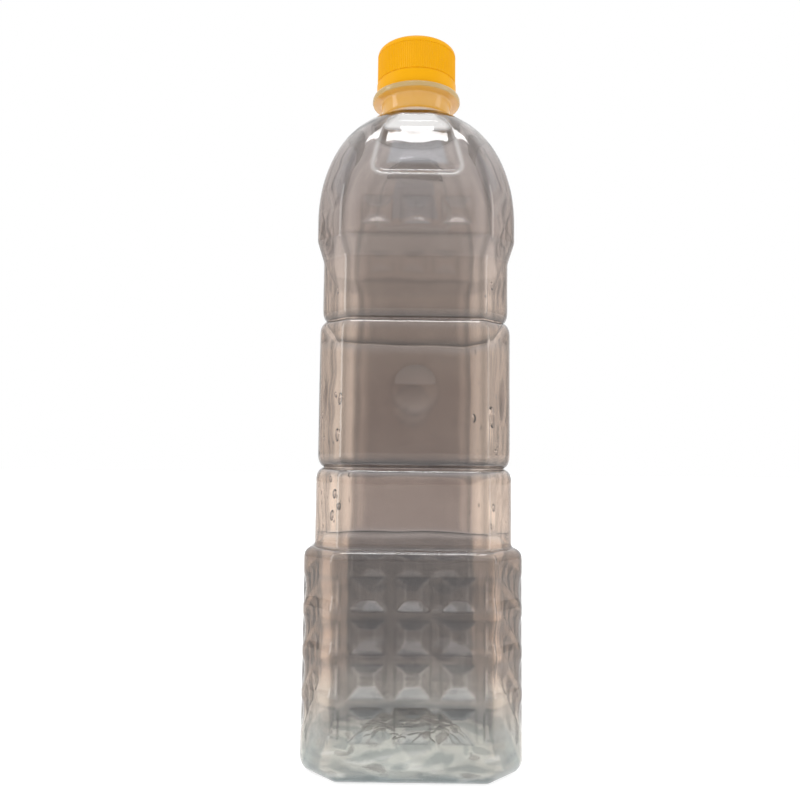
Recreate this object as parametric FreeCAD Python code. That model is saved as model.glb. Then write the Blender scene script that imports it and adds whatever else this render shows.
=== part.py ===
"""Square one-piece PET bottle with a screw cap and the cap's tamper band.

The bottle is a thin blown shell on an octagonal plan: four wide faces and four narrow corner facets with
rounded vertical edges.  From the foot up it has a wide grip block with a field of sunk pyramids on each face,
three body sections parted by pinched grooves, a domed shoulder with a sunk crest panel on each face, and a
28 mm neck with a support ring.  Frame: +Z up, origin at the middle of the foot, wide faces square to X and Y.
All lengths are millimetres.
"""
import FreeCAD
import Part
import math
import os

Vector = FreeCAD.Vector
Z_AXIS = Vector(0, 0, 1)
ORIGIN = Vector(0, 0, 0)
TAN_OCTANT = math.tan(math.radians(22.5))
ROOT2 = math.sqrt(2.0)
FACES = 4
TOUCH = 1e-4                # two places closer than this are the same
CUT_PAST = 1.0              # cutting tools run past the faces they cut by this much

# ---- blown wall -------------------------------------------------------------------------------------------
WALL = 0.4

# ---- grip block -------------------------------------------------------------------------------------------
BLOCK_HALF = 36.2           # axis to wide face
BLOCK_CHAMFER = 11.0        # wide face to corner facet, measured along the face
BLOCK_FLAT = BLOCK_HALF - BLOCK_CHAMFER
BLOCK_TOP = 72.5
BLOCK_TOP_R = 3.2           # rounding of the ledge
FOOT_R = 5.4                # rounding round the foot
CORNER_R = 5.0              # rounding of the upright edges

# ---- push-up in the base ----------------------------------------------------------------------------------
PUSHUP_R = 23.0
PUSHUP_RISE = 8.5
GATE_R = 3.0                # moulding gate at the middle of the push-up
GATE_DROP = 0.8

# ---- body sections between the grooves --------------------------------------------------------------------
LEDGE = 3.3                 # the waist stands this far back from the grip block
PANEL_STEP = 0.5
COLLAR_STEP = 0.7
BODY_CHAMFER = 9.2
WAIST_H = 26.0
PANEL_H = 49.5
COLLAR_H = 20.8
GROOVE_DEPTH = 1.8
GROOVE_EDGE_R = 4.0         # rounding of each section's rim
WAIST_HALF = BLOCK_HALF - LEDGE
PANEL_HALF = WAIST_HALF - PANEL_STEP
COLLAR_HALF = PANEL_HALF - COLLAR_STEP
LOWER_GROOVE_Z = BLOCK_TOP + WAIST_H
UPPER_GROOVE_Z = LOWER_GROOVE_Z + PANEL_H
COLLAR_TOP = UPPER_GROOVE_Z + COLLAR_H

# ---- round dimple on each panel face ----------------------------------------------------------------------
DIMPLE_RISE = 25.5          # above the lower groove
DIMPLE_R = 7.8
DIMPLE_DEPTH = 1.0

# ---- shoulder ---------------------------------------------------------------------------------------------
OVERHANG = 2.1              # the dome stands out this far over the collar
DOME_CHAMFER = 9.4
FLARE_H = 6.8               # the step under the dome
SKIRT_H = 7.4               # upright band between the step and the dome
DOME_H = 44.0
DOME_END = 3.0              # the dome ends this far out from the neck and a cone leads on to it
DOME_POWER = 1.92           # 2 would be an ellipse, less is flatter
DOME_STEPS = 5
DOME_END_ROUNDNESS = 0.97   # 1 would be a full circle at the top
CONE_LEDGE = 0.5            # ledge between the dome and the cone
CONE_H = 2.0
DOME_HALF = COLLAR_HALF + OVERHANG
SKIRT_Z = COLLAR_TOP + FLARE_H
SPRING_Z = SKIRT_Z + SKIRT_H
DOME_TOP = SPRING_Z + DOME_H
CONE_TOP = DOME_TOP + CONE_H

# ---- crest panel sunk in each face of the shoulder --------------------------------------------------------
CREST_RISE = 13.5           # foot of the panel above the spring line
CREST_TOP_GAP = 4.0         # head of the panel below the top of the dome
CREST_LOW_W = 32.0
CREST_HIGH_W = 21.5
CREST_R = 4.5
CREST_DEPTH = 1.3
BADGE_INSET = 5.0           # blank field inside the crest panel, from its foot and sides
BADGE_TOP_INSET = 3.0
BADGE_DEPTH = 0.5
BADGE_R = 2.5
CREST_LOW_Z = SPRING_Z + CREST_RISE
CREST_HIGH_Z = DOME_TOP - CREST_TOP_GAP

# ---- sunk pyramids ----------------------------------------------------------------------------------------
PIT_COLUMNS = 3
PIT_ROWS = 4
PIT_WEB_X = 3.4             # plain strips left between the pits
PIT_WEB_Z = 3.0
PIT_SIDE_GAP = 5.3          # plain margins round the field of pits
PIT_TOP_GAP = 8.4
PIT_FOOT_GAP = 13.5
PIT_W = (2 * (BLOCK_FLAT - PIT_SIDE_GAP) - PIT_WEB_X * (PIT_COLUMNS - 1)) / PIT_COLUMNS
PIT_H = (BLOCK_TOP - PIT_TOP_GAP - PIT_FOOT_GAP - PIT_WEB_Z * (PIT_ROWS - 1)) / PIT_ROWS
PIT_RUN = 3.1               # how far each sloping side reaches in from the rim
PIT_DEPTH = 1.6
PIT_OVER = 0.6              # how far the cutting tool stands out of the face
SCALLOP_DEPTH = 0.8         # shallow scallops of the corner facets, one beside each row of pits

# ---- single row of pits round the foot of the dome --------------------------------------------------------
SHOULDER_PIT_RISE = 0.8     # middle of the row above the spring line
SHOULDER_PIT_WEB = 3.2
SHOULDER_PIT_SIDE_GAP = 5.9
SHOULDER_PIT_H = 9.2
SHOULDER_PIT_W = ((2 * (DOME_HALF - DOME_CHAMFER - SHOULDER_PIT_SIDE_GAP) - SHOULDER_PIT_WEB * (PIT_COLUMNS - 1))
                  / PIT_COLUMNS)

# ---- neck finish ------------------------------------------------------------------------------------------
BORE_R = 10.9
NECK_WALL = 2.1
NECK_H = 6.0                # plain neck under the support ring
RING_REACH = 3.5
RING_T = 2.2
RING_EDGE = 0.6             # chamfer of the ring's rim
FINISH_WALL = 1.6
FINISH_H = 16.8             # support ring to lip
BEAD_REACH = 1.1            # bead that holds the tamper band
BEAD_RISE = 3.4             # middle of the bead above the support ring
BEAD_H = 1.6
LIP_EDGE = 0.5
NECK_R = BORE_R + NECK_WALL
RING_R = NECK_R + RING_REACH
FINISH_R = BORE_R + FINISH_WALL
BEAD_R = FINISH_R + BEAD_REACH
DOME_TOP_HALF = NECK_R + DOME_END
RING_Z = CONE_TOP + NECK_H
RING_TOP = RING_Z + RING_T
BEAD_Z = RING_TOP + BEAD_RISE
LIP_Z = RING_TOP + FINISH_H

# ---- tamper band ------------------------------------------------------------------------------------------
BEAD_CLEARANCE = 0.5        # between the bead and the band
BAND_WALL = 0.8
BAND_H = 5.4
SLIT = 0.4                  # torn line between band and cap
BAND_EDGE = 0.3
CATCH_CLEARANCE = 0.3       # between the band's inner catch and the bead
CATCH_H = 1.2
BAND_R = BEAD_R + BEAD_CLEARANCE + BAND_WALL

# ---- cap --------------------------------------------------------------------------------------------------
THREAD_GAP = 1.3            # between the finish and the cap's skirt
CAP_WALL = 0.9
CAP_TOP_T = 1.5
CAP_EDGE_R = 1.9
KNURLS = 120
KNURL_DEPTH = 0.18
KNURL_TOP_GAP = 2.4         # plain rim above the knurls
PLUG_CLEARANCE = 0.25
PLUG_WALL = 1.0
PLUG_LENGTH = 2.6
CAP_R = FINISH_R + THREAD_GAP + CAP_WALL
CAP_SKIRT_Z = RING_TOP + BAND_H + SLIT


def turned(shape, quarter):
    """A copy of shape turned about the bottle's axis by that many quarter turns."""
    copy = shape.copy()
    copy.rotate(ORIGIN, Z_AXIS, 90.0 * quarter)
    return copy


def on_all_faces(tools):
    """The tools made for the -Y face, repeated on the four faces."""
    return [turned(tool, quarter) for quarter in range(FACES) for tool in tools]


def octagon(half, flat, corner_r, z):
    """Wire of the plan at height z: an octagon with wide faces at half, each 2 x flat long, and rounded corners."""
    corners = [Vector(flat, -half, z), Vector(half, -flat, z), Vector(half, flat, z), Vector(flat, half, z),
               Vector(-flat, half, z), Vector(-half, flat, z), Vector(-half, -flat, z), Vector(-flat, -half, z)]
    tangent = corner_r * TAN_OCTANT
    edges = []
    for i, corner in enumerate(corners):
        before, after = corners[i - 1], corners[(i + 1) % len(corners)]
        into = (corner - before).normalize()
        out = (after - corner).normalize()
        start, end = corner - into * tangent, corner + out * tangent
        bisector = (out - into).normalize()
        sagitta = corner_r / math.cos(math.radians(22.5)) - corner_r
        edges.append(Part.Arc(start, corner + bisector * sagitta, end).toShape())
        next_start = after - out * tangent
        edges.append(Part.makeLine(end, next_start))
    return Part.Wire(edges)


def prism(half, flat, corner_r, low, high):
    face = Part.Face(octagon(half, flat, corner_r, low))
    return face.extrude(Vector(0, 0, high - low))


def rim_edges(solid, z):
    """Edges of a prism that lie at height z."""
    rim = []
    for edge in solid.Edges:
        box = edge.BoundBox
        if abs(box.ZMin - z) < TOUCH and abs(box.ZMax - z) < TOUCH:
            rim.append(edge)
    return rim


def section(half, chamfer, low, high, low_r, high_r, inset):
    """One body section: a prism with its lower and upper rims rounded.  inset makes the cavity's copy of it."""
    corner_r = CORNER_R - inset
    flat = half - chamfer - inset * TAN_OCTANT
    solid = prism(half - inset, flat, corner_r, low + inset, high - inset)
    for z, radius in ((low + inset, low_r), (high - inset, high_r)):
        if radius > 0:
            solid = solid.makeFillet(radius - inset, rim_edges(solid, z))
    return solid


def dome_profile(base, top, share):
    """Distance from the axis on the curve that closes in from base to top, at that share of the dome's height."""
    reach = (1.0 - (top / base) ** DOME_POWER) ** (1.0 / DOME_POWER)
    return base * (1.0 - (share * reach) ** DOME_POWER) ** (1.0 / DOME_POWER)


def widest_corner_r(half, flat):
    """Largest corner radius that an octagon of this size has room for."""
    return min(flat, (half - flat) / ROOT2) / TAN_OCTANT


def dome(inset):
    """The closing part of the shoulder, lofted through plans that turn from the octagon to a near circle."""
    base = DOME_HALF - inset
    base_diagonal = (2 * DOME_HALF - DOME_CHAMFER) / ROOT2 - inset
    top = DOME_TOP_HALF - inset
    start = (CORNER_R - inset) / widest_corner_r(base, base_diagonal * ROOT2 - base)
    wires = []
    for i in range(DOME_STEPS):
        share = math.sin(0.5 * math.pi * i / (DOME_STEPS - 1))
        half = dome_profile(base, top, share)
        flat = dome_profile(base_diagonal, top, share) * ROOT2 - half
        roundness = start + (DOME_END_ROUNDNESS - start) * share ** 3
        z = SPRING_Z + (DOME_TOP - inset - SPRING_Z) * share
        wires.append(octagon(half, flat, widest_corner_r(half, flat) * roundness, z))
    return Part.makeLoft(wires, True, False)


def cone(inset):
    """The cone between the dome and the neck, or in the cavity between the dome and the bore."""
    low = DOME_TOP - inset
    foot_r = DOME_TOP_HALF - CONE_LEDGE - inset
    top_r = NECK_R if inset == 0 else BORE_R
    return Part.makeCone(foot_r, top_r, CONE_TOP - low, Vector(0, 0, low))


def skirt(inset):
    """The flared step between the collar and the dome, and the upright band under the spring line."""
    flare_wires = []
    for half, chamfer, z in ((COLLAR_HALF, BODY_CHAMFER, COLLAR_TOP), (DOME_HALF, DOME_CHAMFER, SKIRT_Z)):
        flare_wires.append(octagon(half - inset, half - chamfer - inset * TAN_OCTANT, CORNER_R - inset, z))
    flare = Part.makeLoft(flare_wires, True, True)
    band = prism(DOME_HALF - inset, DOME_HALF - DOME_CHAMFER - inset * TAN_OCTANT, CORNER_R - inset,
                 SKIRT_Z, SPRING_Z)
    return [flare, band]


def frustum(centre_x, centre_z, width, height, face_half):
    """Tool for one sunk pyramid in the -Y face: it narrows from the rim at the face to its floor."""
    grow = PIT_OVER * PIT_RUN / PIT_DEPTH
    mouth_w, mouth_h = 0.5 * width + grow, 0.5 * height + grow
    floor_w, floor_h = 0.5 * width - PIT_RUN, 0.5 * height - PIT_RUN
    return Part.makeWedge(centre_x - mouth_w, -face_half - PIT_OVER, centre_z - mouth_h,
                          centre_z - floor_h, centre_x - floor_w,
                          centre_x + mouth_w, -face_half + PIT_DEPTH, centre_z + mouth_h,
                          centre_z + floor_h, centre_x + floor_w)


def pit_rows():
    top_row = BLOCK_TOP - PIT_TOP_GAP - 0.5 * PIT_H
    return [top_row - (PIT_H + PIT_WEB_Z) * row for row in range(PIT_ROWS)]


def pit_columns(pitch):
    return [pitch * (column - 0.5 * (PIT_COLUMNS - 1)) for column in range(PIT_COLUMNS)]


def grip_pits(inset):
    """The pyramids of one face of the grip block."""
    return [frustum(x, z, PIT_W, PIT_H, BLOCK_HALF - inset)
            for x in pit_columns(PIT_W + PIT_WEB_X) for z in pit_rows()]


def shoulder_pits(inset):
    """The single row of pyramids at the foot of the dome, on one face."""
    return [frustum(x, SPRING_Z + SHOULDER_PIT_RISE, SHOULDER_PIT_W, SHOULDER_PIT_H, DOME_HALF - inset)
            for x in pit_columns(SHOULDER_PIT_W + SHOULDER_PIT_WEB)]


def scallops(inset):
    """Shallow round hollows across one corner facet of the grip block."""
    facet = (BLOCK_HALF + BLOCK_FLAT) / ROOT2
    scallop_r = (SCALLOP_DEPTH ** 2 + (0.5 * PIT_H) ** 2) / (2 * SCALLOP_DEPTH)
    tools = []
    for z in pit_rows():
        start = Vector(-BLOCK_CHAMFER, -(facet + scallop_r - SCALLOP_DEPTH), z)
        tool = Part.makeCylinder(scallop_r + inset, 2 * BLOCK_CHAMFER, start, Vector(1, 0, 0))
        tool.rotate(ORIGIN, Z_AXIS, 45.0)
        tools.append(tool)
    return tools


def dimple(inset):
    """Ball that presses the round dimple in one panel face."""
    ball_r = (DIMPLE_R ** 2 + DIMPLE_DEPTH ** 2) / (2 * DIMPLE_DEPTH)
    centre = Vector(0, -(PANEL_HALF - DIMPLE_DEPTH + ball_r), LOWER_GROOVE_Z + DIMPLE_RISE)
    return Part.makeSphere(ball_r + inset, centre)


def trapezoid(low_z, high_z, low_w, high_w, corner_r):
    """Tool with a rounded trapezoid section, running in from outside the -Y face to near the axis."""
    corners = [Vector(-0.5 * low_w, 0, low_z), Vector(0.5 * low_w, 0, low_z),
               Vector(0.5 * high_w, 0, high_z), Vector(-0.5 * high_w, 0, high_z)]
    outline = Part.Face(Part.makePolygon(corners + corners[:1]))
    outline.translate(Vector(0, -DOME_HALF - CUT_PAST, 0))
    tool = outline.extrude(Vector(0, DOME_HALF, 0))
    lengthwise = [edge for edge in tool.Edges if edge.BoundBox.YLength > DOME_HALF - TOUCH]
    return tool.makeFillet(corner_r, lengthwise)


def crest(inset):
    """Tools for the crest panel of one face: the panel and, deeper, the blank field inside it."""
    panel = trapezoid(CREST_LOW_Z - inset, CREST_HIGH_Z + inset, CREST_LOW_W + 2 * inset,
                      CREST_HIGH_W + 2 * inset, CREST_R)
    slope = 0.5 * (CREST_LOW_W - CREST_HIGH_W) / (CREST_HIGH_Z - CREST_LOW_Z)
    field_low_w = CREST_LOW_W - 2 * BADGE_INSET * (1.0 + slope)
    field_high_w = CREST_HIGH_W - 2 * BADGE_INSET * (1.0 - slope) + 2 * BADGE_INSET * slope
    field = trapezoid(CREST_LOW_Z + BADGE_INSET - inset, CREST_HIGH_Z - BADGE_TOP_INSET + inset,
                      field_low_w + 2 * inset, field_high_w + 2 * inset, BADGE_R)
    return panel, field


def crest_tools(inset):
    """The crest tools of all faces, hollowed so that their floors follow the dome at the stated depths."""
    panel, field = crest(inset)
    tools = []
    for tool, depth in ((panel, CREST_DEPTH), (field, CREST_DEPTH + BADGE_DEPTH)):
        tools += on_all_faces([tool.cut(dome(inset + depth))])
    return tools


def push_up(inset):
    """The raised middle of the base, with the sunk gate, as a solid that is taken out of the foot."""
    ball_r = (PUSHUP_R ** 2 + PUSHUP_RISE ** 2) / (2 * PUSHUP_RISE)
    ball = Part.makeSphere(ball_r + inset, Vector(0, 0, PUSHUP_RISE - ball_r))
    gate_z = PUSHUP_RISE + inset - GATE_DROP
    gate = Part.makeCylinder(GATE_R - inset, ball_r, Vector(0, 0, gate_z))
    return ball.cut(gate)


def blown_form(inset):
    """The outside of the blown body for inset 0, and its cavity for inset WALL."""
    core_half = COLLAR_HALF - GROOVE_DEPTH
    core = prism(core_half - inset, core_half - BODY_CHAMFER, CORNER_R - inset, FOOT_R + WALL, SKIRT_Z)
    pieces = [
        section(BLOCK_HALF, BLOCK_CHAMFER, 0, BLOCK_TOP, FOOT_R, BLOCK_TOP_R, inset),
        section(WAIST_HALF, BODY_CHAMFER, BLOCK_TOP - FOOT_R, LOWER_GROOVE_Z, 0, GROOVE_EDGE_R, inset),
        section(PANEL_HALF, BODY_CHAMFER, LOWER_GROOVE_Z, UPPER_GROOVE_Z, GROOVE_EDGE_R, GROOVE_EDGE_R, inset),
        section(COLLAR_HALF, BODY_CHAMFER, UPPER_GROOVE_Z, COLLAR_TOP + inset, GROOVE_EDGE_R, 0, inset),
    ]
    form = core.multiFuse(pieces + skirt(inset) + [dome(inset), cone(inset)])
    form = form.removeSplitter()
    relief = grip_pits(inset) + scallops(inset) + shoulder_pits(inset) + [dimple(inset)]
    form = form.cut(Part.makeCompound(on_all_faces(relief)))
    for tool in crest_tools(inset):
        form = form.cut(tool)
    return form.cut(push_up(inset))


def revolved(points):
    """Solid of revolution about Z from (radius, height) points."""
    corners = [Vector(r, 0, z) for r, z in points]
    face = Part.Face(Part.makePolygon(corners + corners[:1]))
    return face.revolve(ORIGIN, Z_AXIS, 360)


def round_edges(solid, radius, places):
    """Rounds the full-circle edges that lie at the given (radius, height) places."""
    chosen = []
    for edge in solid.Edges:
        if isinstance(edge.Curve, Part.Circle):
            for r, z in places:
                if abs(edge.Curve.Radius - r) < TOUCH and abs(edge.Curve.Center.z - z) < TOUCH:
                    chosen.append(edge)
    return solid.makeFillet(radius, chosen)


def neck():
    """Neck with support ring, tamper bead and lip, as a closed form without its bore."""
    bead_low, bead_high = BEAD_Z - 0.5 * BEAD_H, BEAD_Z + 0.5 * BEAD_H
    return revolved([(0, CONE_TOP), (NECK_R, CONE_TOP), (NECK_R, RING_Z),
                     (RING_R - RING_EDGE, RING_Z), (RING_R, RING_Z + RING_EDGE),
                     (RING_R, RING_TOP - RING_EDGE), (RING_R - RING_EDGE, RING_TOP), (FINISH_R, RING_TOP),
                     (FINISH_R, bead_low), (BEAD_R, bead_low), (BEAD_R, bead_high),
                     (FINISH_R, bead_high + BEAD_REACH), (FINISH_R, LIP_Z - LIP_EDGE),
                     (FINISH_R - LIP_EDGE, LIP_Z), (0, LIP_Z)])


def bottle():
    outside = blown_form(0).fuse(neck())
    bore = Part.makeCylinder(BORE_R, LIP_Z - CONE_TOP, Vector(0, 0, CONE_TOP))
    cavity = blown_form(WALL).fuse(bore)
    return outside.cut(cavity).removeSplitter()


def knurled_prism():
    """Upright prism whose outline has one shallow vee for each knurl."""
    points = []
    for i in range(2 * KNURLS):
        radius = CAP_R - (KNURL_DEPTH if i % 2 else 0.0)
        angle = math.pi * i / KNURLS
        points.append(Vector(radius * math.cos(angle), radius * math.sin(angle), CAP_SKIRT_Z - CUT_PAST))
    height = LIP_Z + CAP_TOP_T - KNURL_TOP_GAP - CAP_SKIRT_Z + CUT_PAST
    return Part.Face(Part.makePolygon(points + points[:1])).extrude(Vector(0, 0, height))


def cap():
    """Screw cap seated on the lip, with knurled skirt and a plug that seals inside the bore."""
    top = LIP_Z + CAP_TOP_T
    outer = revolved([(0, CAP_SKIRT_Z), (CAP_R, CAP_SKIRT_Z), (CAP_R, top), (0, top)])
    outer = round_edges(outer, CAP_EDGE_R, [(CAP_R, top)])
    crown = Part.makeCylinder(CAP_R + CUT_PAST, KNURL_TOP_GAP + CUT_PAST, Vector(0, 0, top - KNURL_TOP_GAP))
    outer = outer.common(knurled_prism().fuse(crown))
    hollow = Part.makeCylinder(CAP_R - CAP_WALL, LIP_Z - CAP_SKIRT_Z + CUT_PAST,
                               Vector(0, 0, CAP_SKIRT_Z - CUT_PAST))
    plug_r = BORE_R - PLUG_CLEARANCE
    plug = Part.makeCylinder(plug_r, PLUG_LENGTH, Vector(0, 0, LIP_Z - PLUG_LENGTH))
    plug = plug.cut(Part.makeCylinder(plug_r - PLUG_WALL, PLUG_LENGTH, Vector(0, 0, LIP_Z - PLUG_LENGTH)))
    return outer.cut(hollow).fuse(plug).removeSplitter()


def tamper_band():
    """Ring torn from the cap, resting on the support ring, with an inner catch under the bead."""
    low = RING_TOP
    high = RING_TOP + BAND_H
    inner = BAND_R - BAND_WALL
    catch_top = min(low + CATCH_H, BEAD_Z - 0.5 * BEAD_H - CATCH_CLEARANCE)
    catch_r = FINISH_R + CATCH_CLEARANCE
    return revolved([(catch_r, low), (BAND_R - BAND_EDGE, low), (BAND_R, low + BAND_EDGE),
                     (BAND_R, high - BAND_EDGE), (BAND_R - BAND_EDGE, high), (inner, high),
                     (inner, catch_top + inner - catch_r), (catch_r, catch_top)])


def main():
    os.makedirs("parts", exist_ok=True)
    for name, make in (("bottle", bottle), ("cap", cap), ("tamper_band", tamper_band)):
        shape = make()
        print(name, "valid", shape.isValid(), "solids", len(shape.Solids), "faces", len(shape.Faces),
              "volume", round(shape.Volume, 1), "box", shape.BoundBox)
        shape.exportStep("parts/" + name + ".step")


main()
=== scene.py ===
"""Looks of the clear square PET bottle: blown shell, golden screw cap, droplets, floor and light.

Lengths are millimetres until a mesh is made, and Blender gets metres.  The plan of the body is an
octagon with rounded corners.  At each height it is given by the distance of the wide faces from the
axis (half), that of the corner facets (facet) and the radius of its corners.

The shell is a grid: a row for each height and a column for each place round the plan.  The wall's
tint and haze are worked out point by point and reach its material as the attribute "wall_tint_and_light".
"""
import math
import bpy
import numpy as np
from mathutils import Matrix, Vector


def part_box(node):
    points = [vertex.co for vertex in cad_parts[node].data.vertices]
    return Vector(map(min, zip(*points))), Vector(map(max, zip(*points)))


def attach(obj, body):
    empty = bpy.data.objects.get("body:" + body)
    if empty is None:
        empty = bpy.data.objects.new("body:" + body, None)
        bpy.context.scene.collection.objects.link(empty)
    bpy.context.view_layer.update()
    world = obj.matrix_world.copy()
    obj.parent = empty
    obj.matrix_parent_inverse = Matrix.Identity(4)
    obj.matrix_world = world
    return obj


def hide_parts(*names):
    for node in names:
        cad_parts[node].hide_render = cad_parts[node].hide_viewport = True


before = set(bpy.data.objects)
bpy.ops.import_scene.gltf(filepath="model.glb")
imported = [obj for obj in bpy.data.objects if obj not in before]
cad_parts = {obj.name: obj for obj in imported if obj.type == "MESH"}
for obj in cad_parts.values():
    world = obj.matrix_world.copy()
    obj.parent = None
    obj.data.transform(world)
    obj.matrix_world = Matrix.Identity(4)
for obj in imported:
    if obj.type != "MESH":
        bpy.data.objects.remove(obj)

MM = 0.001
ROOT2 = math.sqrt(2.0)
TAN_OCTANT = math.tan(math.radians(22.5))
QUARTER = 0.5 * math.pi
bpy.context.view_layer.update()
BOTTLE_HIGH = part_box("bottle")[1] / MM
BAND_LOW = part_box("tamper_band")[0] / MM
RANDOM = np.random.default_rng(11)

# ---- body: half width over the wide faces, and chamfer from wide face to corner facet ------------
BLOCK_HALF = BOTTLE_HIGH.x
BLOCK = (BLOCK_HALF, 11.0)
WAIST = (32.9, 9.2)
PANEL = (32.4, 9.2)
COLLAR = (31.7, 9.2)
DOME = (33.8, 9.4)
CORNER_R = 5.0
LEAST_CORNER_R = 0.6
CORNER_LIMIT = 0.88         # a corner takes at most this share of its room
WALL = 0.4

# ---- heights -------------------------------------------------------------------------------------
FOOT_R = 5.4
BLOCK_TOP = 72.5
LEDGE_R = 3.2
LEDGE_INNER_R = 0.8
LOWER_GROOVE_Z = 98.5
UPPER_GROOVE_Z = 148.0
GROOVE_HALF = 29.9
GROOVE_REACH = 4.0
COLLAR_TOP = 168.8
SKIRT_Z = 175.6
SPRING_Z = 183.0
DOME_TOP = 227.0
DOME_TOP_HALF = 16.0
DOME_POWER = 1.92
DOME_ROUNDNESS = 0.97       # share of their room that the corners take at the top of the dome
CONE_TOP = 229.0

# ---- neck ----------------------------------------------------------------------------------------
NECK_R = 13.0
BORE_R = 10.9
RING_R = 16.5
RING_T = 2.2
RING_TOP = BAND_LOW.z
RING_EDGE = 0.6
FINISH_R = 12.5
LIP_Z = BOTTLE_HIGH.z
LIP_EDGE = 0.5

# ---- torn slit between the band and the cap ------------------------------------------------------
BAND_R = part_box("tamper_band")[1].x / MM
TEAR_SETBACK = 0.45
TEAR_DEPTH = 0.75
TEAR_COLUMNS = 480
BRIDGES = 24
BRIDGE_RISE = 0.12

# ---- base ----------------------------------------------------------------------------------------
PUSHUP_R = 23.0
PUSHUP_RISE = 8.5
GATE_R = 3.0
GATE_DROP = 0.8
RIBS = 10
RIB_RISE = 1.5
RIB_SPAN = (7.0, PUSHUP_R - 1.5)    # the ribs swell between these distances from the axis
PUSHUP_LUMPS = 0.9
LUMP_WAVES = (5.5, 9)       # size and seed, as for the waves of the wall

# ---- relief of the faces -------------------------------------------------------------------------
PIT_PITCH = (14.4, 13.4)
PIT_SIZE = (11.0, 10.4)
PIT_RUN = 3.1
PIT_DEPTH = 1.6
PIT_TOP_ROW_Z = 58.9
PIT_ROWS = 4
SHOULDER_PIT_Z = 183.8
SHOULDER_PIT_PITCH = 13.4
SHOULDER_PIT_SIZE = (10.2, 9.2)
SCALLOP_DEPTH = 0.8
DIMPLE_Z = 124.0
DIMPLE_R = 7.8
DIMPLE_DEPTH = 1.0
CREST_LOW_Z = 196.5
CREST_HIGH_Z = 223.0
CREST_WIDTHS = (32.0, 21.5)
CREST_R = 4.5
CREST_DEPTH = 1.3
CREST_WALL = 2.4            # how far the panel's sloping rim reaches in
FIELD_INSET = 5.0           # from the panel's outline to its plain field
FIELD_DEPTH = 0.5
RELIEF_FADE = 2.0           # the relief of a face runs out over this width beside the corners
WAVE_OUTSIDE = 0.015        # unevenness of the blown wall
WAVE_INSIDE = 0.035
OUTSIDE_WAVES = (22.0, 3)   # size of the waves and seed of their random directions
INSIDE_WAVES = (13.0, 5)

# ---- tint of the wall and painted light: a colour is the light that it lets through --------------
# the plastic's smoky tint, with painted light and shade in it: corner facets lighter than the
# faces, a darker grip block, a lighter foot over a dark bottom edge, and lighter towards the top
# rows are height, tint of the wide faces, tint of the corner facets
WALL_TINTS_AND_LIGHT = [
    (0.0, (0.44, 0.52, 0.54), (0.50, 0.56, 0.57)),
    (2.8, (0.50, 0.58, 0.60), (0.62, 0.68, 0.68)),
    (4.2, (0.86, 0.90, 0.89), (0.90, 0.92, 0.89)),
    (9.0, (0.88, 0.91, 0.88), (0.92, 0.92, 0.88)),
    (15.0, (0.82, 0.84, 0.81), (0.90, 0.85, 0.79)),
    (22.0, (0.38, 0.35, 0.335), (0.70, 0.61, 0.54)),
    (30.0, (0.205, 0.182, 0.172), (0.67, 0.56, 0.475)),
    (71.0, (0.205, 0.18, 0.17), (0.64, 0.53, 0.45)),
    (74.0, (0.42, 0.36, 0.335), (0.90, 0.80, 0.715)),
    (125.0, (0.425, 0.355, 0.32), (0.92, 0.82, 0.74)),
    (150.0, (0.465, 0.40, 0.36), (0.92, 0.82, 0.74)),
    (172.0, (0.52, 0.455, 0.42), (0.86, 0.78, 0.73)),
    (190.0, (0.53, 0.475, 0.45), (0.75, 0.70, 0.68)),
    (205.0, (0.63, 0.59, 0.58), (0.74, 0.70, 0.69)),
    (229.0, (0.86, 0.85, 0.85), (0.88, 0.87, 0.87)),
]
MARGIN_LIGHT_SHARE = 0.5          # painted light: how far the faces' upright margins go over to the facets' lighter tint
MARGIN_START = 0.84         # share of a face's half width where its margin starts
EDGE_SHARE = 0.42           # painted shade: how much darker the upright edges of the body are
EDGE_TOP_SHARE = 0.6        # how much of that the dome loses
EDGE_SPAN = (12.0, 20.0)    # heights over which the edges' darkness sets in
EDGE_END = (SPRING_Z, DOME_TOP - 12.0)
SKIRT_SHADE_SHARE = 0.3           # painted shade: how much darker the skirt's edge is
SKIRT_BLUR = 0.9

# painted highlight and shade on the slopes and creases of the relief
LIT_TINT = (0.72, 0.75, 0.79)           # painted highlight on slopes that look up
LIT_SHARE = 0.62
LIT_GAIN = 1.6
SHADED_TINT = (0.045, 0.05, 0.065)      # painted shade on slopes that look down
SHADED_SHARE = 0.72
SHADED_GAIN = 1.9
PIT_CRISPNESS = 1.0                     # how much harder the pits are shaded than the rest
PIT_FADE = 2.0                          # how far below the block's top that sets in
LIT_FALL, SHADED_FALL = 0.6, 0.3        # powers by which crisper slopes get less of each tint
SCALLOP_TONE = 0.45                     # share of the shading that the scallops show
DOME_RELIEF_TONE = 0.45                 # share that the relief of the dome shows
FLARE_TONE = 0.35                       # and the flare under the dome
FLARE_SPAN = (COLLAR_TOP - 4.0, COLLAR_TOP - 2.0)
PROFILE_SPAN = (6.0, 12.0)              # heights over which the shading of the ledges sets in
PROFILE_END = 6.0                       # how far below the dome it runs out
CREASE_GAIN = 2.4
CREASE_SHADE_SHARE = 0.5                      # painted shade: how much darker the outer edges of the pits are
# painted highlight along the inner edges of the relief
INNER_EDGE_HIGHLIGHT_TINT = (0.62, 0.58, 0.56)
INNER_EDGE_HIGHLIGHT_SHARE = 0.45
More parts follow.
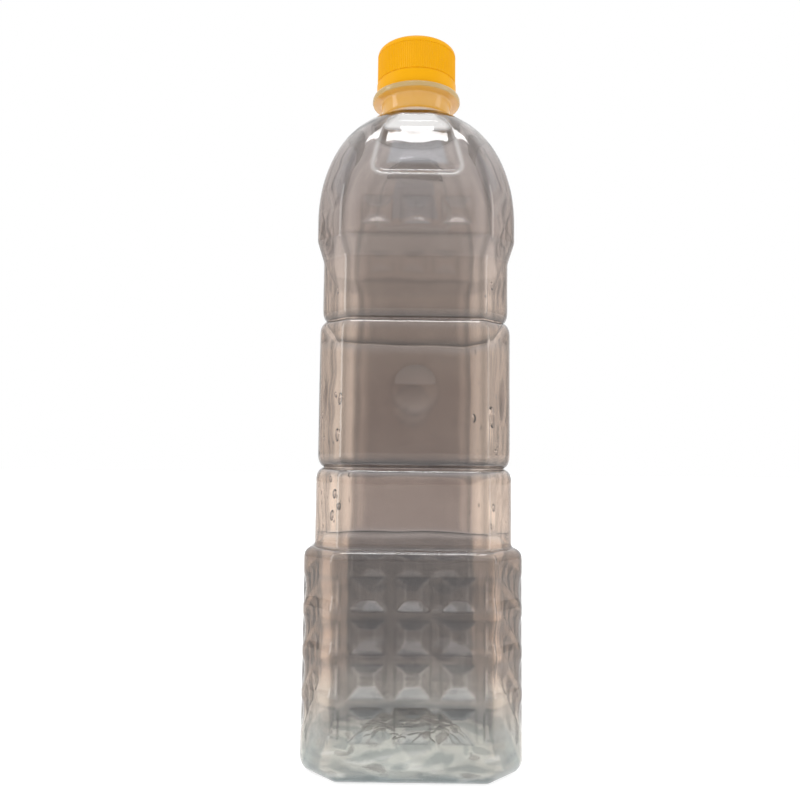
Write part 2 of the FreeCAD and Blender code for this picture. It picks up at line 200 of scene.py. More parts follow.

# places with a tint of their own or with painted light, and their haze: the share of light
# scattered, not let through
# painted highlight: slopes that look up get a little haze
LIT_HAZE = 0.08
FIELD_TINT = (0.68, 0.72, 0.79)         # plain field of the shoulder panels
FIELD_SHARE = 0.65
FIELD_HAZE = 0.14
GLARE_TINT = (0.96, 0.96, 0.96)         # painted glare: white reflection on the top of the shoulder panels
GLARE_SPAN = (214.0, 217.0)             # heights over which it sets in
GLARE_HAZE = 0.62
PANEL_RIM_HIGHLIGHT_SHARE = 0.6                   # painted highlight: the same white along the panels' outline
PANEL_RIM_HIGHLIGHT_HAZE = 0.22
PANEL_RIM_START = (-0.9, -0.1)          # from the panel's outline: where that line sets in
PANEL_RIM_END = 1.3                     # and where it ends
PANEL_RIM_FADE = 0.8
ROOT_HIGHLIGHT_TINT = (0.90, 0.88, 0.85)          # painted highlight: a white ring at the neck's root, where the wall grows thick
ROOT_SPAN = (CONE_TOP - 4.0, CONE_TOP - 2.5)
ROOT_HIGHLIGHT_SHARE = 0.8
ROOT_HIGHLIGHT_HAZE = 0.5
FOOT_HAZE = 0.03
FOOT_HAZE_TOP = 14.0
FOOT_HAZE_FADE = 10.0
NECK_REFLECTED_YELLOW = (0.66, 0.33, 0.012)         # painted reflection: the yellow of cap and band, carried down in the neck
NECK_HAZE = 0.94
RIM_REFLECTED_YELLOW = (0.68, 0.44, 0.13)           # painted reflection of that yellow, paler, on the edge of the support ring
RIM_CLEARNESS = 0.32                    # how much less haze that edge has

# glassy base, with painted dark refraction and painted glints
BASE_TINT = (0.94, 0.97, 0.94)
BASE_HAZE = 0.05
REFRACTION_PATCH_TINT = (0.62, 0.66, 0.68)         # painted refraction: darker patches
PATCH_WAVES = (7.5, 21)
PATCH_STRETCH = (1.0, 1.0, 1.8)         # above 1, the patches are flatter along that axis
PATCH_DEPTH = 0.7                       # tone of the waves, below 0, at which a patch is full
# painted glints
GLINT_TINT = (1.0, 1.0, 0.98)
GLINT_HAZE = 0.5
GLINT_SPAN = (0.7, 1.3)                 # tones of the waves between which a glint sets in
WALL_PATCHES = 0.35                     # how strongly the foot of the wall shows the same painted patches and glints
WALL_PATCH_TOP = 15.0
WALL_PATCH_FADE = 7.0

# ---- water drops inside: angle round the axis, height, radius, how drawn out ---------------------
DROPS = [
    (-128.0, 121.5, 1.1, 1.5), (-131.0, 122.5, 0.7, 1.2), (-129.5, 110.0, 1.2, 1.4),
    (-50.0, 116.0, 1.5, 2.2), (-130.0, 90.0, 1.0, 1.4), (-133.0, 94.5, 0.8, 1.2),
    (-127.0, 86.5, 0.9, 1.3), (-132.0, 83.0, 1.1, 1.3), (-48.0, 160.0, 0.8, 1.6),
    (-133.0, 158.0, 0.7, 1.4), (-47.0, 104.0, 0.7, 1.2), (-49.0, 86.0, 0.8, 1.5),
    (50.0, 118.0, 1.0, 1.5), (128.0, 96.0, 1.1, 1.3),
]
SMALL_DROPS = 46
SMALL_DROP_TURN = 9.0       # degrees to either side of a corner facet's middle
SMALL_DROP_SPANS = ((78.0, 165.0), (0.25, 0.6), (1.0, 1.6))     # height, radius, how drawn out
DROP_HEIGHT = 0.42          # of a drop's radius
DROP_SINK = 0.05            # how deep a drop's foot lies in the wall
DROP_TOP_ANGLE = 0.12       # the last ring of a drop lies this far from its top
DROP_WOBBLE = 0.12          # how uneven a drop's outline is
DROP_SAG = 0.35             # how much longer its lower half is

# ---- materials, beside the wall's tint -----------------------------------------------------------
WHITE = (1.0, 1.0, 1.0, 1.0)
NOISE_SPAN = (0.3, 0.7)                 # the noise mostly stays between these values
SMOKE_TINT = (0.80, 0.74, 0.68, 1.0)    # faint clouds over the wall's tint
DEPTH_TINT = (0.52, 0.46, 0.42, 1.0)    # what the plastic takes from light by its thickness
DEPTH_DENSITY = 700.0
PET_IOR = 1.57
WATER_TINTS = ((0.93, 0.95, 0.97, 1.0), (0.99, 0.99, 0.99, 1.0))
WATER_IOR = 1.33
CAP_YELLOWS = ((214, 151, 0), (221, 158, 0))
CAP_IOR = 1.5

# ---- stage: lengths in metres --------------------------------------------------------------------
FLOOR_SIDE = 6.0
FLOOR_GLOW = 0.8
FLOOR_TONES = ((0.60, 0.60, 0.60, 1.0), (0.62, 0.62, 0.62, 1.0))
LIGHT_TARGET = (0.0, 0.0, 0.13)
LIGHTS = [  # name, place, width and height, how bright its face looks
    ("top_box", (0.0, -0.19, 0.90), (0.30, 0.12), 9.5),
    ("left_box", (-0.60, -0.16, 0.25), (0.16, 0.70), 2.2),
    ("right_box", (0.60, -0.16, 0.25), (0.16, 0.70), 1.2),
]
SENSOR_WIDTH = 36.0
FOCAL_LENGTH = 34.65
CAMERA_PLACE = (-0.0049, -0.2823, 0.1005)
CAMERA_PITCH = math.radians(4.6)
CAMERA_ROLL = math.radians(0.65)

# ---- mesh density --------------------------------------------------------------------------------
ROW_STEP = 0.55
PLAIN_ROW_STEP = 1.5
FINE_BANDS = ((-1.0, 78.0), (93.0, 104.0), (142.0, 154.0), (166.0, 228.0))
FACE_COLUMNS = 76
ARC_COLUMNS = 4
FACET_COLUMNS = 8
QUARTER_COLUMNS = FACE_COLUMNS + FACET_COLUMNS + 2 * ARC_COLUMNS
RIM_ROWS = 9
LEDGE_ROWS = 5
DOME_ROWS = 40
PUSHUP_ROWS = 30


# ========================================== blown shell ===========================================
def plan(section, inward=0.0):
    """Half width, facet distance and corner radius of a section moved in by that much."""
    half, chamfer = section
    facet = (2 * half - chamfer) / ROOT2
    return half - inward, facet - inward, max(CORNER_R - inward, LEAST_CORNER_R)


def rounded_rim(stations, section, z, reach, depth, upward):
    """Adds a section's rounded rim, which reaches that far along the wall and that deep inward."""
    angles = np.linspace(0.0, QUARTER, RIM_ROWS)
    for angle in (angles if upward else angles[::-1]):
        inward = depth * (1.0 - math.cos(angle))
        offset = reach * (1.0 - math.sin(angle))
        stations.append((z + (-offset if upward else offset), *plan(section, inward)))


def widest_corner_r(half, facet):
    flat = facet * ROOT2 - half
    return min(flat, (half - flat) / ROOT2) / TAN_OCTANT


def closing_curve(base, top, share):
    reach = (1.0 - (top / base) ** DOME_POWER) ** (1.0 / DOME_POWER)
    return base * (1.0 - (share * reach) ** DOME_POWER) ** (1.0 / DOME_POWER)


def dome_stations(stations):
    base, base_facet, base_r = plan(DOME)
    start = base_r / widest_corner_r(base, base_facet)
    for share in np.sin(np.linspace(0.0, QUARTER, DOME_ROWS)):
        half = closing_curve(base, DOME_TOP_HALF, share)
        facet = closing_curve(base_facet, DOME_TOP_HALF, share)
        radius = widest_corner_r(half, facet) * (start + (DOME_ROUNDNESS - start) * share ** 3)
        stations.append((SPRING_Z + (DOME_TOP - SPRING_Z) * share, half, facet, radius))


def body_stations():
    """(height, half, facet, corner radius) from the foot to the top of the dome, evenly spaced."""
    stations = []
    for angle in np.linspace(0.0, QUARTER, RIM_ROWS):
        inward = FOOT_R * (1.0 - math.sin(angle))
        stations.append((FOOT_R * (1.0 - math.cos(angle)), *plan(BLOCK, inward)))
    rounded_rim(stations, BLOCK, BLOCK_TOP, LEDGE_R, LEDGE_R, True)
    for angle in np.linspace(0.0, QUARTER, LEDGE_ROWS):
        inward = LEDGE_INNER_R * (math.sin(angle) - 1.0)
        stations.append((BLOCK_TOP + LEDGE_INNER_R * (1.0 - math.cos(angle)), *plan(WAIST, inward)))
    for z, below, above in ((LOWER_GROOVE_Z, WAIST, PANEL), (UPPER_GROOVE_Z, PANEL, COLLAR)):
        rounded_rim(stations, below, z, GROOVE_REACH, below[0] - GROOVE_HALF, True)
        rounded_rim(stations, above, z, GROOVE_REACH, above[0] - GROOVE_HALF, False)
    stations.append((COLLAR_TOP, *plan(COLLAR)))
    stations.append((SKIRT_Z, *plan(DOME)))
    dome_stations(stations)
    return even_rows(np.array(stations))


def even_rows(stations):
    """The stations resampled along the wall, closer in the bands with relief, and softened."""
    step = 0.1
    lengths = np.hypot(np.diff(stations[:, 0]), np.diff(stations[:, 1]))
    distance = np.concatenate([[0.0], np.cumsum(lengths)])
    fine = np.arange(0.0, distance[-1], step)
    z = np.interp(fine, distance, stations[:, 0])
    in_band = np.any([(z > low) & (z < high) for low, high in FINE_BANDS], axis=0)
    rows_up = np.cumsum(step / np.where(in_band, ROW_STEP, PLAIN_ROW_STEP))
    cost = np.concatenate([[0.0], rows_up])[:-1]
    run = np.interp(distance, fine, cost)
    keep = np.concatenate([[True], np.diff(run) > 1e-9])
    even = np.linspace(0.0, run[-1], int(run[-1]) + 1)
    rows = np.stack([np.interp(even, run[keep], column[keep]) for column in stations.T], axis=1)
    soft = rows.copy()
    soft[1:-1] = 0.25 * rows[:-2] + 0.5 * rows[1:-1] + 0.25 * rows[2:]
    return soft


def quarter_outline(half, facet, radius):
    """Points and normals of a quarter of the plan: the -Y face, then the facet to its right."""
    radius = min(radius, CORNER_LIMIT * widest_corner_r(half, facet))
    flat = facet * ROOT2 - half - radius * TAN_OCTANT
    across = np.linspace(-flat, flat, FACE_COLUMNS, endpoint=False)
    points = [np.stack([across, np.full_like(across, -half)], axis=1)]
    normals = [np.tile((0.0, -1.0), (FACE_COLUMNS, 1))]
    first, last = np.array((flat, radius - half)), np.array((half - radius, -flat))
    for centre, start in ((first, -90.0), (last, -45.0)):
        angles = np.radians(np.linspace(start, start + 45.0, ARC_COLUMNS, endpoint=False))
        way = np.stack([np.cos(angles), np.sin(angles)], axis=1)
        if start > -90.0:
            edge = np.array((1.0, -1.0)) / ROOT2
            share = np.linspace(0.0, 1.0, FACET_COLUMNS, endpoint=False)[:, None]
            points.append((first + radius * edge) * (1.0 - share) + (last + radius * edge) * share)
            normals.append(np.tile(edge, (FACET_COLUMNS, 1)))
        points.append(centre + radius * way)
        normals.append(way)
    return np.concatenate(points), np.concatenate(normals)


def full_outline(half, facet, radius):
    points, normals = quarter_outline(half, facet, radius)
    turns = [np.array(((math.cos(a), math.sin(a)), (-math.sin(a), math.cos(a))))
             for a in QUARTER * np.arange(4)]
    return tuple(np.concatenate([part @ turn for turn in turns]) for part in (points, normals))


def ramp(distance, run):
    """0 outside, 1 further in than run, straight between."""
    return np.clip(distance / run, 0.0, 1.0)


def pit(across, z, centre, centre_z, size):
    inside_x = 0.5 * size[0] - np.abs(across - centre)
    inside_z = 0.5 * size[1] - np.abs(z - centre_z)
    return PIT_DEPTH * ramp(np.minimum(inside_x, inside_z), PIT_RUN)


def trapezoid_inside(across, z, low_z, high_z, widths, radius):
    """How far inside a rounded trapezoid each point is; negative outside."""
    share = (z - low_z) / (high_z - low_z)
    half_width = 0.5 * (widths[0] + (widths[1] - widths[0]) * share)
    lean = math.hypot(1.0, 0.5 * (widths[0] - widths[1]) / (high_z - low_z))
    side = (half_width - np.abs(across)) / lean
    end = np.minimum(z - low_z, high_z - z)
    corner = radius - np.hypot(np.maximum(radius - side, 0.0), np.maximum(radius - end, 0.0))
    return np.where((side < radius) & (end < radius), corner, np.minimum(side, end))


def crest_inside(across, z):
    return trapezoid_inside(across, z, CREST_LOW_Z, CREST_HIGH_Z, CREST_WIDTHS, CREST_R)


def crest(across, z):
    """Depth of the panel sunk in each face of the dome, and of the plain field inside it."""
    panel = crest_inside(across, z)
    field = smooth(panel, FIELD_INSET - 1.5, 2.0 * FIELD_INSET)
    return CREST_DEPTH * smooth(panel, 0.0, CREST_WALL) + FIELD_DEPTH * field


def face_relief(across, z):
    """How far each point of a wide face is sunk."""
    depth = np.zeros_like(across)
    for column in (-1, 0, 1):
        for row in range(PIT_ROWS):
            row_z = PIT_TOP_ROW_Z - row * PIT_PITCH[1]
            depth += pit(across, z, column * PIT_PITCH[0], row_z, PIT_SIZE)
        depth += pit(across, z, column * SHOULDER_PIT_PITCH, SHOULDER_PIT_Z, SHOULDER_PIT_SIZE)
    ball_r = (DIMPLE_R ** 2 + DIMPLE_DEPTH ** 2) / (2 * DIMPLE_DEPTH)
    away = np.hypot(across, z - DIMPLE_Z)
    ball = np.sqrt(np.maximum(ball_r ** 2 - away ** 2, 0.0)) - (ball_r - DIMPLE_DEPTH)
    return depth + np.maximum(ball, 0.0) + crest(across, z)


def scallops(z):
    """How far the corner facets are sunk beside each row of pits."""
    depth = np.zeros_like(z)
    for row in range(PIT_ROWS):
        share = (z - PIT_TOP_ROW_Z + row * PIT_PITCH[1]) / (0.5 * PIT_SIZE[1])
        depth += SCALLOP_DEPTH * np.maximum(1.0 - share ** 2, 0.0)
    return depth


def softened(grid):
    """Rounds the relief's edges: each value is averaged with its neighbours up, down and around."""
    grid = 0.1 * np.roll(grid, 1, axis=1) + 0.8 * grid + 0.1 * np.roll(grid, -1, axis=1)
    grid[1:-1] = 0.1 * grid[:-2] + 0.8 * grid[1:-1] + 0.1 * grid[2:]
    return grid


def waves(points, size, seed):
    """Smooth uneven field from a few sine waves in random directions, between about -1 and 1."""
    draw = np.random.default_rng(seed)
    total = np.zeros(points.shape[:2])
    count = 9
    for _ in range(count):
        way = draw.normal(size=3)
        way *= 2 * math.pi / (size * draw.uniform(0.7, 1.5) * np.linalg.norm(way))
        total += np.sin(points @ way + draw.uniform(0.0, 2 * math.pi))
    return total / math.sqrt(count)


def circle(radius, azimuth, z):
    """Points round the axis at those angles; radius and z are single or one for each angle."""
    level = z + np.zeros_like(azimuth)
    return np.stack([radius * np.cos(azimuth), radius * np.sin(azimuth), level], axis=1)


def grid_normals(points):
    """Outward normals of a grid of rows that close around the axis."""
    around = np.roll(points, -1, axis=1) - np.roll(points, 1, axis=1)
    up = np.gradient(points, axis=0)
    normal = np.cross(around, up)
    return normal / np.maximum(np.linalg.norm(normal, axis=2, keepdims=True), 1e-12)


def smooth(value, low, high):
    share = np.clip((value - low) / (high - low), 0.0, 1.0)
    return share * share * (3.0 - 2.0 * share)


def blend(first, second, share):
    return first * (1.0 - share[..., None]) + np.asarray(second) * share[..., None]


def column_shares():
    """How much each column is on a wide face, on a face's upright margin and on an upright edge."""
    first_arc = slice(FACE_COLUMNS, FACE_COLUMNS + ARC_COLUMNS)
    last_arc = slice(-ARC_COLUMNS, None)
    on_face, on_edge = np.zeros(QUARTER_COLUMNS), np.zeros(QUARTER_COLUMNS)
    on_margin = np.ones(QUARTER_COLUMNS)
    on_face[:FACE_COLUMNS] = 1.0
    on_face[first_arc] = np.linspace(1.0, 0.0, ARC_COLUMNS)
    on_face[last_arc] = np.linspace(0.0, 1.0, ARC_COLUMNS)
    from_middle = np.abs(np.linspace(-1.0, 1.0, FACE_COLUMNS))
    on_margin[:FACE_COLUMNS] = smooth(from_middle, MARGIN_START, 1.0)
    on_edge[first_arc] = on_edge[last_arc] = np.sin(np.linspace(0.2, math.pi - 0.2, ARC_COLUMNS))
    return tuple(np.tile(share, 4) for share in (on_face, on_margin, on_edge))


def tint_by_height(z, share):
    """Tint and its painted light from the table of heights; share is how much a point counts to a
    wide face.
    """
    heights = [row[0] for row in WALL_TINTS_AND_LIGHT]
    face, facet = (np.stack([np.interp(z, heights, [row[side][channel] for row in WALL_TINTS_AND_LIGHT])
                             for channel in range(3)], axis=-1) for side in (1, 2))
    return blend(facet, face, share)


def shade_relief(tint, z, share, plain, relief, crease):
    """The tint with painted highlight and shade on its slopes and on the creases of the relief."""
    profile = plain[..., 2] * smooth(z, *PROFILE_SPAN) * smooth(SPRING_Z - z, 0.0, PROFILE_END)
    profile = profile * (1.0 - (1.0 - FLARE_TONE) * smooth(z, *FLARE_SPAN))
    strength = 1.0 - (1.0 - DOME_RELIEF_TONE) * smooth(z, COLLAR_TOP, SKIRT_Z)
    scallop_tone = SCALLOP_TONE + (1.0 - SCALLOP_TONE) * share
    slope = (relief[..., 2] - plain[..., 2]) * strength * scallop_tone + profile
    crisp = 1.0 + PIT_CRISPNESS * smooth(BLOCK_TOP - z, 0.0, PIT_FADE)
    lit = LIT_SHARE / crisp ** LIT_FALL * np.clip(LIT_GAIN * crisp * slope, 0.0, 1.0)
    shaded = SHADED_SHARE / crisp ** SHADED_FALL * np.clip(-SHADED_GAIN * crisp * slope, 0.0, 1.0)
    # painted highlight on slopes that look up, painted shade on those that look down
    tint = blend(blend(tint, LIT_TINT, lit), SHADED_TINT, shaded)
    # painted shade on the creases' outer edges, painted highlight on their inner edges
    outer_edge_shade, inner_edge_highlight = (np.clip(CREASE_GAIN * strength * share * bend, 0.0, 1.0)
                              for bend in (crease, -crease))
    tint = blend(tint, INNER_EDGE_HIGHLIGHT_TINT, INNER_EDGE_HIGHLIGHT_SHARE * inner_edge_highlight)
    return tint * (1.0 - CREASE_SHADE_SHARE * outer_edge_shade)[..., None]


def body_paint(points, plain, relief, crease):
    """Tint and haze of the wall at each point, with painted light and shade worked into them.

    plain and relief are the surface normals without and with the relief, and crease is how sharply
    it bends.
    """
    z = points[..., 2]
    on_face, on_margin, on_edge = column_shares()
    # painted light: lighter bands along the upright margins of the wide faces
    margin = MARGIN_LIGHT_SHARE * on_margin * smooth(z, BLOCK_TOP, BLOCK_TOP + 2.0)
    share = on_face * (1.0 - margin)
    # painted shade: dark lines down the upright edges and round the skirt's edge
    edge = on_edge * smooth(z, *EDGE_SPAN) * (1.0 - EDGE_TOP_SHARE * smooth(z, *EDGE_END))
    skirt = share * np.exp(-((z - SKIRT_Z) / SKIRT_BLUR) ** 2)
    darker = (1.0 - EDGE_SHARE * edge) * (1.0 - SKIRT_SHADE_SHARE * skirt)
    tint = tint_by_height(z, share) * darker[..., None]
    tint = shade_relief(tint, z, share, plain, relief, crease)

    across = np.tile(points[:, :QUARTER_COLUMNS, 0], (1, 4))
    panel = crest_inside(across, z)
    in_panel = share * smooth(panel, 0.0, 1.0)
    field = in_panel * smooth(panel, FIELD_INSET - 1.0, FIELD_INSET + 0.5)
    # painted glare: white on the top of the shoulder panels
    glare = in_panel * smooth(z, *GLARE_SPAN)
    # painted highlight: a white line along the panels' outline
    panel_rim_highlight = (share * smooth(panel, *PANEL_RIM_START)
                 * smooth(PANEL_RIM_END - panel, 0.0, PANEL_RIM_FADE))
    # painted highlight: white ring round the neck's root
    root = smooth(z, *ROOT_SPAN)
    tint = blend(tint, FIELD_TINT, FIELD_SHARE * field)
    tint = blend(tint, GLARE_TINT, np.maximum(glare, PANEL_RIM_HIGHLIGHT_SHARE * panel_rim_highlight))
    tint = blend(tint, ROOT_HIGHLIGHT_TINT, ROOT_HIGHLIGHT_SHARE * root)
    # painted highlight: haze on slopes that look up
    slope = np.clip(LIT_GAIN * (relief[..., 2] - plain[..., 2]), 0.0, 1.0)
    foot = smooth(FOOT_HAZE_TOP - z, 0.0, FOOT_HAZE_FADE)
    haze = np.maximum.reduce([LIT_HAZE * slope, FIELD_HAZE * field, GLARE_HAZE * glare,
                              PANEL_RIM_HIGHLIGHT_HAZE * panel_rim_highlight, FOOT_HAZE * foot, ROOT_HIGHLIGHT_HAZE * root])
    return np.concatenate([tint, haze[..., None]], axis=-1)


def base_refraction_and_glints(paint, points, weight):
    """Adds painted refraction and glints to the thick glassy base: darker bluish patches and small
    glints.
    """
    tone = waves(points * PATCH_STRETCH, *PATCH_WAVES)
    patch = weight * smooth(-tone, 0.0, PATCH_DEPTH)
    glint = weight * smooth(tone, *GLINT_SPAN)
    tint = paint[..., :3] * blend(np.ones(points.shape), REFRACTION_PATCH_TINT, patch)
    tint = blend(tint, GLINT_TINT, glint)
    haze = np.maximum(paint[..., 3], GLINT_HAZE * glint)
    return np.concatenate([tint, haze[..., None]], axis=-1)


def base_rows(foot_points, azimuth):
    """Rows from the middle of the push-up out to the first row of the foot."""
    ball_r = (PUSHUP_R ** 2 + PUSHUP_RISE ** 2) / (2 * PUSHUP_RISE)
    radii = np.concatenate([np.linspace(0.4, GATE_R, 4),
                            np.linspace(GATE_R + 0.4, PUSHUP_R, PUSHUP_ROWS)])
    rows = []
    for radius in radii:
        height = PUSHUP_RISE - ball_r + math.sqrt(ball_r ** 2 - radius ** 2)
        height -= GATE_DROP if radius <= GATE_R else 0.0
        way = np.clip((radius - RIB_SPAN[0]) / (RIB_SPAN[1] - RIB_SPAN[0]), 0.0, 1.0)
        swell = math.sin(math.pi * way) ** 2
        ribs = height + RIB_RISE * swell * (0.5 + 0.5 * np.cos(RIBS * azimuth))
        ring = circle(radius, azimuth, ribs)
        ring[:, 2] += PUSHUP_LUMPS * swell * (1.0 + waves(ring[None], *LUMP_WAVES)[0])
        rows.append(ring)
    rim = rows[-1]
    for share in np.linspace(0.0, 1.0, 10)[1:-1]:
        rows.append((1.0 - share) * rim + share * foot_points)
    return rows


def neck_rows(azimuth):
    """Circles up the outside of the neck, over the lip and down the bore."""
    ring_low = RING_TOP - RING_T
    root = [(NECK_R + 0.8, CONE_TOP - 0.4), (NECK_R + 0.15, CONE_TOP + 0.2),
            (NECK_R, CONE_TOP + 1.0), (NECK_R, 0.5 * (CONE_TOP + ring_low)),
            (NECK_R, ring_low - 0.7), (NECK_R + 0.2, ring_low - 0.15), (NECK_R + 0.8, ring_low)]
    ring = [(RING_R - RING_EDGE, ring_low + 0.1), (RING_R - 0.15, ring_low + 0.3),
            (RING_R, ring_low + RING_EDGE), (RING_R, RING_TOP - RING_EDGE),
            (RING_R - 0.15, RING_TOP - 0.2), (RING_R - RING_EDGE, RING_TOP)]
    finish = [(FINISH_R + 0.1, RING_TOP), (FINISH_R, RING_TOP + 0.2),
              (FINISH_R, LIP_Z - LIP_EDGE), (FINISH_R - LIP_EDGE, LIP_Z)]
    bore = [(BORE_R + 0.2, LIP_Z), (BORE_R, LIP_Z - 0.3), (BORE_R, 0.5 * (LIP_Z + CONE_TOP)),
            (BORE_R, CONE_TOP + 0.4), (BORE_R + 0.5, CONE_TOP - 0.3)]
    return [circle(radius, azimuth, z) for radius, z in root + ring + finish + bore]


def outer_grid():
    """The outside from the middle of the base to the top of the dome.

    Gives its points, their tint and haze, and the angle of each column at the top.
    """
    stations = body_stations()
    points = np.zeros((len(stations), 4 * QUARTER_COLUMNS, 3))
    relief = np.zeros(points.shape[:2])
    for i, (z, half, facet, radius) in enumerate(stations):
        points[i, :, :2] = full_outline(half, facet, radius)[0]
        points[i, :, 2] = z
        across = points[i, :FACE_COLUMNS, 0]
        from_edge = abs(across[0]) - np.abs(across)
        sunk = np.zeros(QUARTER_COLUMNS)
        sunk[FACE_COLUMNS:] = scallops(z)
        sunk[:FACE_COLUMNS] = face_relief(across, np.full_like(across, z))
        sunk[:FACE_COLUMNS] *= smooth(from_edge, 0.0, RELIEF_FADE)
        relief[i] = np.tile(sunk, 4)
    plain = grid_normals(points)
    relief = softened(relief)
    crease = np.roll(relief, 1, axis=1) + np.roll(relief, -1, axis=1) - 2.0 * relief
    crease[1:-1] += relief[:-2] + relief[2:] - 2.0 * relief[1:-1]
    points -= plain * relief[:, :, None]
    paint = body_paint(points, plain, grid_normals(points), crease)
    unevenness = WAVE_OUTSIDE * (1.0 + np.maximum(waves(points, *OUTSIDE_WAVES), -1.0))
    points -= grid_normals(points) * unevenness[:, :, None]
    azimuth = np.arctan2(points[-1, :, 1], points[-1, :, 0])
    foot_azimuth = np.arctan2(points[0, :, 1], points[0, :, 0])
    base = np.stack(base_rows(points[0], foot_azimuth))
    base_paint = np.broadcast_to((*BASE_TINT, BASE_HAZE), (*base.shape[:2], 4))
    # painted refraction and glints on the base and on the foot of the wall
    base_paint = base_refraction_and_glints(base_paint, base, np.ones(base.shape[:2]))
    near_base = smooth(WALL_PATCH_TOP - points[..., 2], 0.0, WALL_PATCH_FADE)
    paint = base_refraction_and_glints(paint, points, WALL_PATCHES * near_base)
    return np.concatenate([base, points]), np.concatenate([base_paint, paint]), azimuth


def neck_paint(neck):
    radius = np.hypot(neck[..., 0], neck[..., 1])
    on_rim = smooth(radius, RING_R - 1.2 * RING_EDGE, RING_R)
    # painted reflection: the neck and its ring's edge take the yellow of cap and band
    tint = blend(np.broadcast_to(NECK_REFLECTED_YELLOW, neck.shape), RIM_REFLECTED_YELLOW, on_rim)
    return np.concatenate([tint, (NECK_HAZE - RIM_CLEARNESS * on_rim)[..., None]], axis=-1)


def shell_mesh():
    """The closed shell: up the outside, over the lip, down the bore and the inside of the wall."""
    outside, paint, azimuth = outer_grid()
    wall = WALL * np.ones(outside.shape[:2]) + WAVE_INSIDE * waves(outside, *INSIDE_WAVES)
    inside = outside - grid_normals(outside) * wall[:, :, None]
    neck = np.stack(neck_rows(azimuth))
    mesh = closed_grid_mesh("bottle_shell", np.concatenate([outside, neck, inside[::-1]]) * MM)
    values = np.concatenate([paint, neck_paint(neck), paint[::-1]]).reshape(-1, 4)
    values = np.concatenate([values, values[:1], values[-1:]])
    values[:, 3] = 1.0 - values[:, 3]
    tint = mesh.attributes.new("wall_tint_and_light", "FLOAT_COLOR", "POINT")
    tint.data.foreach_set("color", values.ravel())
    return mesh, inside


def closed_grid_mesh(name, rows):
    """Mesh of rows that close around the axis, with both open ends drawn together to a point."""
    count, columns = rows.shape[:2]
    index = np.arange(count * columns).reshape(count, columns)
    right = np.roll(index, -1, axis=1)
    quads = np.stack([index[:-1], right[:-1], right[1:], index[1:]], axis=-1).reshape(-1, 4)
    ends = np.stack([rows[0].mean(axis=0), rows[-1].mean(axis=0)])
    first, last = count * columns, count * columns + 1
    fans = np.concatenate([np.stack([right[0], index[0], np.full(columns, first)], axis=1),
                           np.stack([index[-1], right[-1], np.full(columns, last)], axis=1)])
    points = np.concatenate([rows.reshape(-1, 3), ends])
    mesh = bpy.data.meshes.new(name)
    mesh.from_pydata(points.tolist(), [], quads.tolist() + fans.tolist())
    mesh.polygons.foreach_set("use_smooth", np.ones(len(mesh.polygons), bool))
    mesh.update()
    return mesh


# ============================================ droplets ============================================
def wall_place(inside, azimuth, z):
    """Place and inward normal of the inner wall at an angle, in degrees, and a height."""
    normals = -grid_normals(inside)
    body = slice(np.argmax(inside[:, 0, 2] > PUSHUP_RISE + 1.0), None)
    row = body.start + np.argmin(np.abs(inside[body, 0, 2] - z))
    around = np.degrees(np.arctan2(inside[row, :, 1], inside[row, :, 0]))
    column = np.argmin(np.abs((around - azimuth + 180.0) % 360.0 - 180.0))
    return inside[row, column], normals[row, column]


def droplet(place, inward, radius, stretch):
    """Points and faces of one flat water drop that clings to the wall, drawn out downwards."""
    rings, sides = 6, 20
    upward = np.array((0.0, 0.0, 1.0)) - inward * inward[2]
    upward /= np.linalg.norm(upward)
    sideways = np.cross(upward, inward)
    points = []
    for polar in np.linspace(QUARTER, DROP_TOP_ANGLE, rings):
        for turn in np.linspace(0.0, 2 * math.pi, sides, endpoint=False):
            wobble = 1.0 + DROP_WOBBLE * math.sin(2 * turn + radius * 9.0)
            reach = radius * math.sin(polar) * wobble
            drop = stretch * (1.0 + DROP_SAG * (math.sin(turn) < 0.0))
            rise = DROP_HEIGHT * radius * math.cos(polar) - DROP_SINK
            points.append(place + inward * rise + sideways * reach * math.cos(turn)
                          + upward * reach * drop * math.sin(turn))
    points.append(place + inward * (DROP_HEIGHT * radius - DROP_SINK))
    foot = len(points)
    points.append(place - DROP_SINK * inward)
    faces = [(r + i, r + (i + 1) % sides, r + sides + (i + 1) % sides, r + sides + i)
             for r in range(0, (rings - 1) * sides, sides) for i in range(sides)]
    top = (rings - 1) * sides
    faces += [(top + i, top + (i + 1) % sides, foot - 1) for i in range(sides)]
    faces += [((i + 1) % sides, i, foot) for i in range(sides)]
    return points, faces


def droplets_mesh(inside):
    points, faces = [], []
    for azimuth, z, radius, stretch in DROPS + scattered_drops():
        place, inward = wall_place(inside, azimuth, z)
        more_points, more_faces = droplet(place, inward, radius, stretch)
        faces += [tuple(len(points) + i for i in face) for face in more_faces]
        points += more_points
    mesh = bpy.data.meshes.new("droplets")
    mesh.from_pydata((np.array(points) * MM).tolist(), [], faces)
    mesh.polygons.foreach_set("use_smooth", np.ones(len(mesh.polygons), bool))
    mesh.update()
    return mesh


def scattered_drops():
    """Fine drops along the corner facets of the three body sections."""
    drops = []
    for _ in range(SMALL_DROPS):
        corner = 45.0 + 90.0 * RANDOM.integers(0, 4)
        azimuth = corner + RANDOM.uniform(-SMALL_DROP_TURN, SMALL_DROP_TURN)
        drops.append((azimuth, *(RANDOM.uniform(*span) for span in SMALL_DROP_SPANS)))
    return drops


def add_object(name, mesh, material):
    piece = bpy.data.objects.new(name, mesh)
    bpy.context.scene.collection.objects.link(piece)
    if material:
        mesh.materials.append(material)
    return piece


